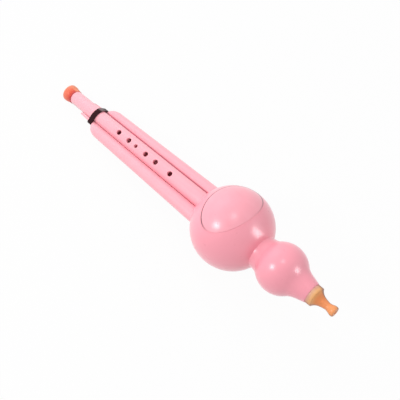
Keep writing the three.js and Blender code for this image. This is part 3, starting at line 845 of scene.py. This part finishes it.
for station, radius in FINGER_HOLES:
    combine(pipe, drill(station, radius), "DIFFERENCE")
for station, radius in BACK_HOLES:
    combine(pipe, drill(station, radius, back_side=True), "DIFFERENCE")
pipe.data.transform(Matrix.Translation((0, 0, MAIN_RISE)) @ Matrix.Rotation(PIPE_TURN, 4, "X"))
settle(pipe, melody_pink, "melody_pipe", "pink_lacquer", "main_pipe")
keep_off(strip, pipe)

# %% [markdown]
# Each drone is a pipe with no finger holes, which sounds one note all the time. Its far end is a
# rounded shoulder that runs into a slim tail beside the main pipe. One bar is drawn out, a
# second one hollows it, and a small sound hole goes in on the underside.

# %% The two drones
DRONE_WALL = 1.7
SOUND_HOLE, SOUND_HOLE_SETBACK, SOUND_DRILL = 2.0, 14.0, 14
SOCKET_DEPTH = 6.0
STATION_STEP = 8.0
tail_start = DRONE_SHOULDER - SHOULDER_LENGTH
tail_end = tail_start - TAIL_LENGTH
drone_inner = SEAT_FACE + SOCKET_DEPTH - GAP


def drone(name, side, pink, node):
    stations = [drone_inner - STATION_STEP * i for i in range(21)] + [DRONE_SHOULDER]
    stations += [DRONE_SHOULDER - SHOULDER_LENGTH * math.sin(math.radians(90 * i / 18))
                 for i in range(1, 19)]
    sections = [drone_section(side, x) for x in stations]
    sections.append(drone_section(side, tail_end + TAIL_TIP, TAIL_TIP))
    centre = sections[-1][0]
    for share in (0.3, 0.55, 0.8, 0.95):
        x = tail_end + TAIL_TIP * (1 - math.sin(math.pi / 2 * share))
        tip_radius = TAIL_TIP * math.cos(math.pi / 2 * share)
        sections.append((Vector((x, centre.y, centre.z)), tip_radius))
    bar = drawn(name, sections, steps=72)
    hollow = [drone_section(side, x) for x in (drone_inner + OVERRUN, DRONE_SHOULDER)]
    bar = combine(bar, drawn("drone_hollow", [(c, r - DRONE_WALL) for c, r in hollow]), "DIFFERENCE")
    hole_at = drone_section(side, DRONE_SHOULDER + SOUND_HOLE_SETBACK)[0]
    nothing_selected()
    bpy.ops.mesh.primitive_cylinder_add(vertices=40, radius=SOUND_HOLE, depth=SOUND_DRILL,
                                        location=hole_at - Vector((0, 0, SOUND_DRILL / 2)))
    bar = combine(bar, bpy.context.object, "DIFFERENCE")
    return settle(bar, pink, "gourd", "pink_lacquer", node)


drone("left_drone", -1, left_pink, "left_drone_pipe")
drone("right_drone", 1, right_pink, "right_drone_pipe")

# %% [markdown]
# The bell is a small flared ring of red resin with a tenon in the end of the main pipe. Its rim
# is rounded outside and dished inside.

# %% End bell
BELL_NECK, BELL_RIM_ROUND = 8.5, 1.8
BELL_MOUTH, BELL_BORE, BELL_MOUTH_DEPTH, BELL_TENON = 6.6, 4.4, 8.0, 9.0

bell_base = PIPE_END - TOUCH
bell_end = PIPE_END - GAP - BELL_LENGTH
rim_start = bell_end + BELL_RIM_WIDTH
tenon = BORE_AT_END - GAP
tenon_end = PIPE_END + BELL_TENON - GAP
bell = spun("end_bell", [
    (tenon_end, BELL_BORE), (tenon_end, tenon), (bell_base, tenon),
    *curve([(bell_base, BELL_NECK), ((bell_base + rim_start) / 2, BELL_NECK),
            (rim_start + (bell_base - rim_start) / 3, RIM_RADIUS), (rim_start, RIM_RADIUS)], 18),
    *curve([(bell_end + BELL_RIM_ROUND, RIM_RADIUS), (bell_end, RIM_RADIUS),
            (bell_end, RIM_RADIUS - BELL_RIM_ROUND)], 10),
    *curve([(bell_end, BELL_MOUTH), (bell_end + BELL_MOUTH_DEPTH / 2, BELL_BORE),
            (bell_end + BELL_MOUTH_DEPTH, BELL_BORE)], 12),
    (tenon_end, BELL_BORE)], height=MAIN_RISE)
settle(bell, red_resin, "melody_pipe", "red_amber_plastic", "end_fitting")

# %% [markdown]
# The mouthpiece is turned from one bar of amber resin: a wide flange that continues the line of
# the neck, a quick hollow taper, a slim stem, and a lip for the teeth. A tenon behind the flange
# goes into the neck.

# %% Mouthpiece
FLANGE_RADIUS, FLANGE_LENGTH, TAPER_LENGTH = 10.4, 5.8, 12.2
STEM_RADIUS, LIP_RADIUS, LIP_LENGTH, TIP_LENGTH = 3.8, 5.3, 7.0, 2.4
BLOW_HOLE, TIP_FACE, FLANGE_EDGE = 2.0, 4.1, 0.9
MOUTH_TENON, MOUTH_TENON_LENGTH = 5.2, 11.0
BASE_BREAK, TAPER_BREAK, TIP_BREAK = 0.1, 0.25, 0.3

base = NECK_END + TOUCH
taper = NECK_END + GAP + FLANGE_LENGTH
stem = taper + TAPER_LENGTH
lip = stem + LIP_LENGTH
tip = lip + TIP_LENGTH
back_end = NECK_END + GAP - MOUTH_TENON_LENGTH
mouthpiece = spun("amber_mouthpiece", [
    (back_end, BLOW_HOLE), (back_end, MOUTH_TENON), (base, MOUTH_TENON),
    (base, FLANGE_RADIUS - BASE_BREAK), (base + BASE_BREAK, FLANGE_RADIUS),
    (taper - FLANGE_EDGE, FLANGE_RADIUS), (taper - TAPER_BREAK, FLANGE_RADIUS - TAPER_BREAK),
    *curve([(taper, FLANGE_RADIUS - FLANGE_EDGE), (taper + TAPER_LENGTH / 3, STEM_RADIUS + FLANGE_EDGE),
            (stem - TAPER_LENGTH / 3, STEM_RADIUS + FLANGE_EDGE), (stem, STEM_RADIUS)], 20),
    *curve([(stem, STEM_RADIUS), (stem + LIP_LENGTH / 2, STEM_RADIUS),
            (lip - LIP_LENGTH / 3, LIP_RADIUS), (lip, LIP_RADIUS)], 14)[1:],
    *curve([(lip, LIP_RADIUS), (tip, LIP_RADIUS), (tip, TIP_FACE)], 10)[1:],
    (tip, BLOW_HOLE + TIP_BREAK), (tip - TIP_BREAK, BLOW_HOLE), (back_end, BLOW_HOLE)], steps=80)
settle(mouthpiece, amber_resin, "mouthpiece", "amber_plastic", "mouthpiece")
keep_off(strip, mouthpiece)

# %% [markdown]
# The band is a rubber loop stretched round the main pipe and the drones' tails. A stretched loop
# is the outline of everything inside it, pulled tight, and that is what a convex hull gives.
# Three short rods stand in for the pipes. Their hull loses its two ends, gets a wall, and then
# leans as the real one does, its front crept towards the gourd.

# %% Rubber band
BAND_SETBACK, BAND_WIDTH, BAND_THICKNESS = 1.2, 6.8, 1.0
BAND_LEAN = math.radians(15)
BAND_BEVEL, BEVEL_ROOM = 0.35, 1.0

band_start = tail_start - BAND_SETBACK - BAND_WIDTH
band_end = band_start + BAND_WIDTH
band_middle = (band_start + band_end) / 2
cores = [(Vector((band_middle, 0, MAIN_RISE)), main_radius(band_end))]
cores += [drone_section(side, band_middle, TAIL_RADIUS) for side in (-1, 1)]
nothing_selected()
rods = []
for centre, radius in cores:
    bpy.ops.mesh.primitive_cylinder_add(vertices=96, radius=radius + GAP,
                                        depth=BAND_WIDTH - BEVEL_ROOM, location=centre,
                                        rotation=(0, math.pi / 2, 0))
    rods.append(bpy.context.object)
for rod in rods:
    rod.select_set(True)
bpy.ops.object.join()
band = bpy.context.object
band.name = "rubber_band"
bpy.ops.object.transform_apply(location=True, rotation=True, scale=True)
bpy.ops.object.mode_set(mode="EDIT")
bpy.ops.mesh.select_all(action="SELECT")
bpy.ops.mesh.convex_hull()
bpy.ops.mesh.select_all(action="SELECT")
bpy.ops.mesh.normals_make_consistent(inside=False)
bpy.ops.mesh.select_mode(type="FACE")
bpy.ops.mesh.select_all(action="DESELECT")
bpy.ops.object.mode_set(mode="OBJECT")
for face in band.data.polygons:
    face.select = abs(face.normal.x) > 0.9
bpy.ops.object.mode_set(mode="EDIT")
bpy.ops.mesh.delete(type="FACE")
bpy.ops.mesh.select_mode(type="VERT")
bpy.ops.object.mode_set(mode="OBJECT")
print("band wall faces:", len(band.data.polygons))

# %% Give the band its wall, its round edges and its lean
wall = band.modifiers.new("wall", "SOLIDIFY")
wall.thickness = BAND_THICKNESS
wall.offset = 1
wall.use_even_offset = True
edges = band.modifiers.new("edges", "BEVEL")
edges.width = BAND_BEVEL
edges.segments = 3
edges.limit_method = "ANGLE"
edges.angle_limit = math.radians(60)
only(band)
for modifier in list(band.modifiers):
    bpy.ops.object.modifier_apply(modifier=modifier.name)
widen = Matrix.Scale(BAND_WIDTH / (BAND_WIDTH - BEVEL_ROOM), 4, (1, 0, 0))
stretch = Matrix.Translation((band_middle, 0, 0)) @ widen
band.data.transform(stretch @ Matrix.Translation((-band_middle, 0, 0)))
lean = Matrix.Identity(4)
lean[0][2] = math.tan(BAND_LEAN)
band.data.transform(lean)
settle(band, black_rubber, "band", "black_rubber", "pipe_band", angle=40)

# %% [markdown]
# The pieces inside the gourd keep their solids, since nothing on them is round enough to need a
# smoother skin. They only get their finishes: rubber for the two rings, cream plastic for the
# seat, the reed holders and their caps, and copper for the reeds.

# %% Finishes for the inner pieces
FINISH_OF = {"seal": black_rubber, "seat": cream_moulding, "holder": cream_moulding,
             "cap": cream_moulding, "plate": copper, "tongue": copper}
for name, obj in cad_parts.items():
    ending = name.rsplit("_", 1)[-1]
    if ending in FINISH_OF:
        obj.material_slots[0].material = FINISH_OF[ending]
        print(name, "->", FINISH_OF[ending].name)

# %% [markdown]
# The floor is a plain white sheet. Seen directly it is almost pure white, as a studio's paper
# sweep is, and it still takes part of the shadow under the instrument.

# %% Floor
WHITENESS = 0.96
FLOOR_SIZE, FLOOR_DROP = 8, 0.0004

nothing_selected()
bpy.ops.mesh.primitive_plane_add(size=FLOOR_SIZE, location=(0, 0, -FLOOR_DROP))
floor = bpy.context.object
floor.name = "floor"
sheet = bpy.data.materials.new("white_sheet")
sheet.use_nodes = True
tree = sheet.node_tree
tree.nodes.clear()
seen = seen_directly(tree)
diffuse = seen.make("ShaderNodeBsdfDiffuse", inputs={"Color": (0.7, 0.7, 0.7, 1)})
glow = seen.make("ShaderNodeEmission", inputs={"Color": (1, 1, 1, 1), "Strength": 1.0})
mixed = seen.make("ShaderNodeMixShader", inputs={0: seen * WHITENESS, 1: diffuse, 2: glow})
output = tree.nodes.new("ShaderNodeOutputMaterial")
tree.links.new(mixed.socket, output.inputs["Surface"])
floor.data.materials.append(sheet)
